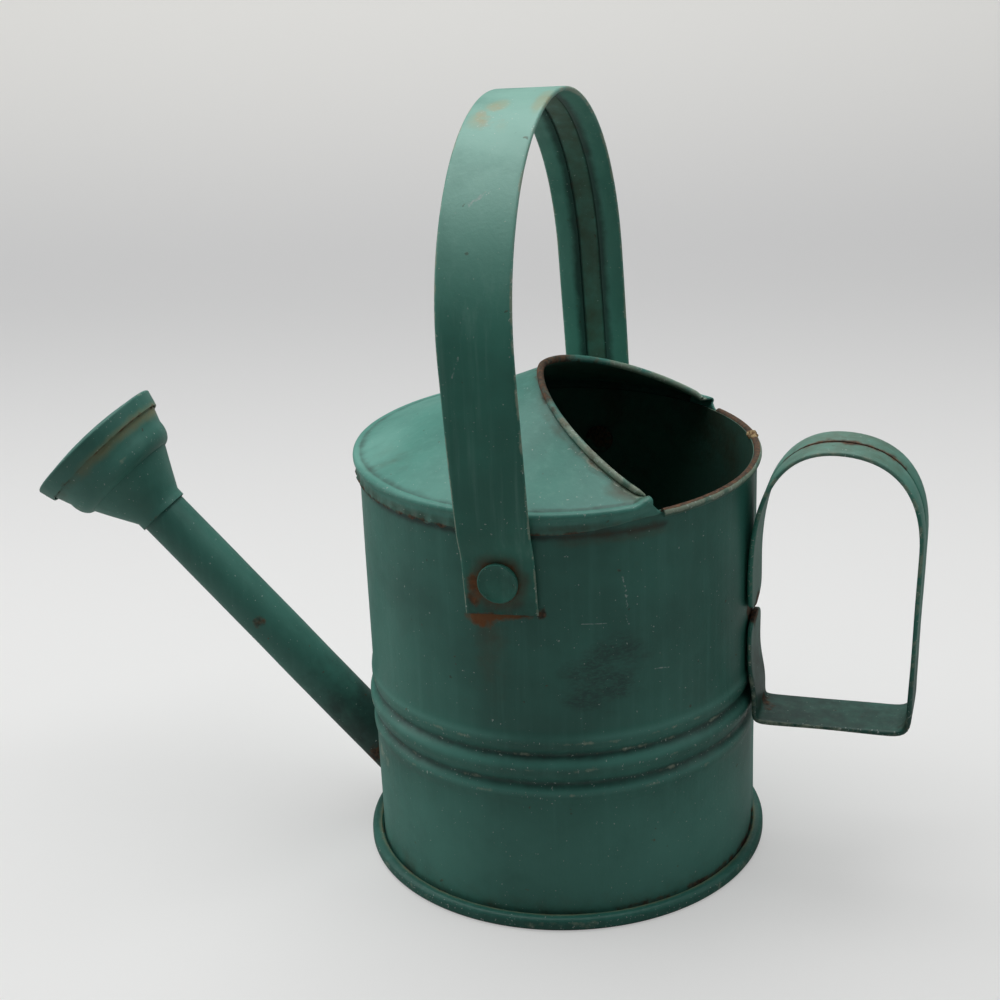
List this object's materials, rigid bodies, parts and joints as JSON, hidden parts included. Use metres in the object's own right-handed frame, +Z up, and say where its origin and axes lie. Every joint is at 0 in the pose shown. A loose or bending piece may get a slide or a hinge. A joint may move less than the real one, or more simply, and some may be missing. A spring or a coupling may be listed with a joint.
{
  "type": "watering can",
  "caption": "Round beaded sheet-metal watering can with a half cover, swinging strap bail, D-shaped rear strap handle and a straight spout ending in a perforated rose.",
  "frame": {"origin": "on the floor under the middle of the whole object's extent, which puts the body's own axis at x = +34.6 mm", "axes": "+Z up, +X from the rose to the rear handle, +Y to the side away from the picture's viewer"},
  "size_m": [0.31, 0.1398, 0.2584],
  "materials": {
    "body_paint": "weathered satin green paint with rust",
    "cover_paint": "faded satin green paint with rust",
    "strap_paint": "faded satin green paint with worn edges",
    "spout_paint": "weathered satin green paint with rust"
  },
  "bodies": {
    "can": {"body_shell": "body_paint", "base_pan": "body_paint", "top_cover": "cover_paint", "bail_rivet_left": "strap_paint", "bail_rivet_right": "strap_paint", "rear_handle": "strap_paint", "spout_tube": "spout_paint", "rose_cone": "spout_paint", "rose_face": "spout_paint"},
    "bail": {"bail_strap": "strap_paint"}
  },
  "joints": [
    {"name": "bail_swing", "type": "hinge", "parent": "can", "child": "bail", "pos_m": [0.03358, 0, 0.122], "axis": [0, 1, 0], "range_deg": [-84, 110]}
  ]
}
